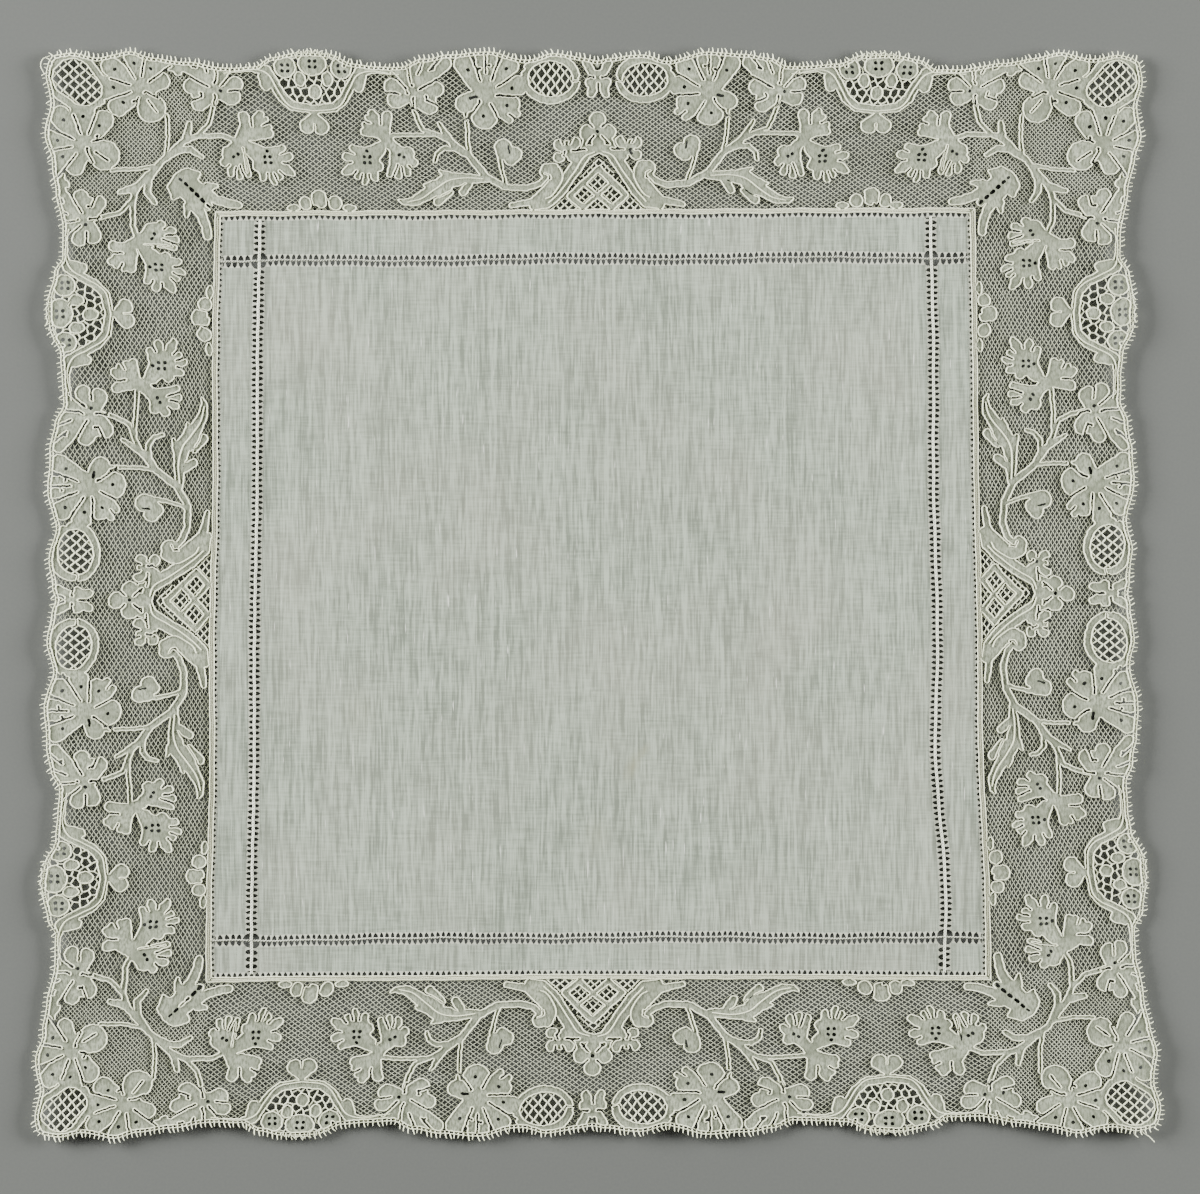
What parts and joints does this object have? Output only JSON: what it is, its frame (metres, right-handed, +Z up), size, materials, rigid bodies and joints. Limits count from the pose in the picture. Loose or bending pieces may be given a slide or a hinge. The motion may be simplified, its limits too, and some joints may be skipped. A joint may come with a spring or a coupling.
{
  "type": "handkerchief",
  "caption": "Square linen handkerchief with hemstitched edges and a wide scalloped border of floral bobbin lace, lying flat",
  "frame": {"origin": "middle of the underside of the handkerchief's box, on the surface that it lies on", "axes": "+Z up through the cloth, +X and +Y along the sides of the square, with +Y to the top of the picture"},
  "size_m": [0.338, 0.3266, 0.0015],
  "materials": {
    "linen": "matte, sheer",
    "lace": "matte"
  },
  "bodies": {
    "root": {"centre_cloth": "linen", "lace_border": "lace"}
  },
  "joints": []
}
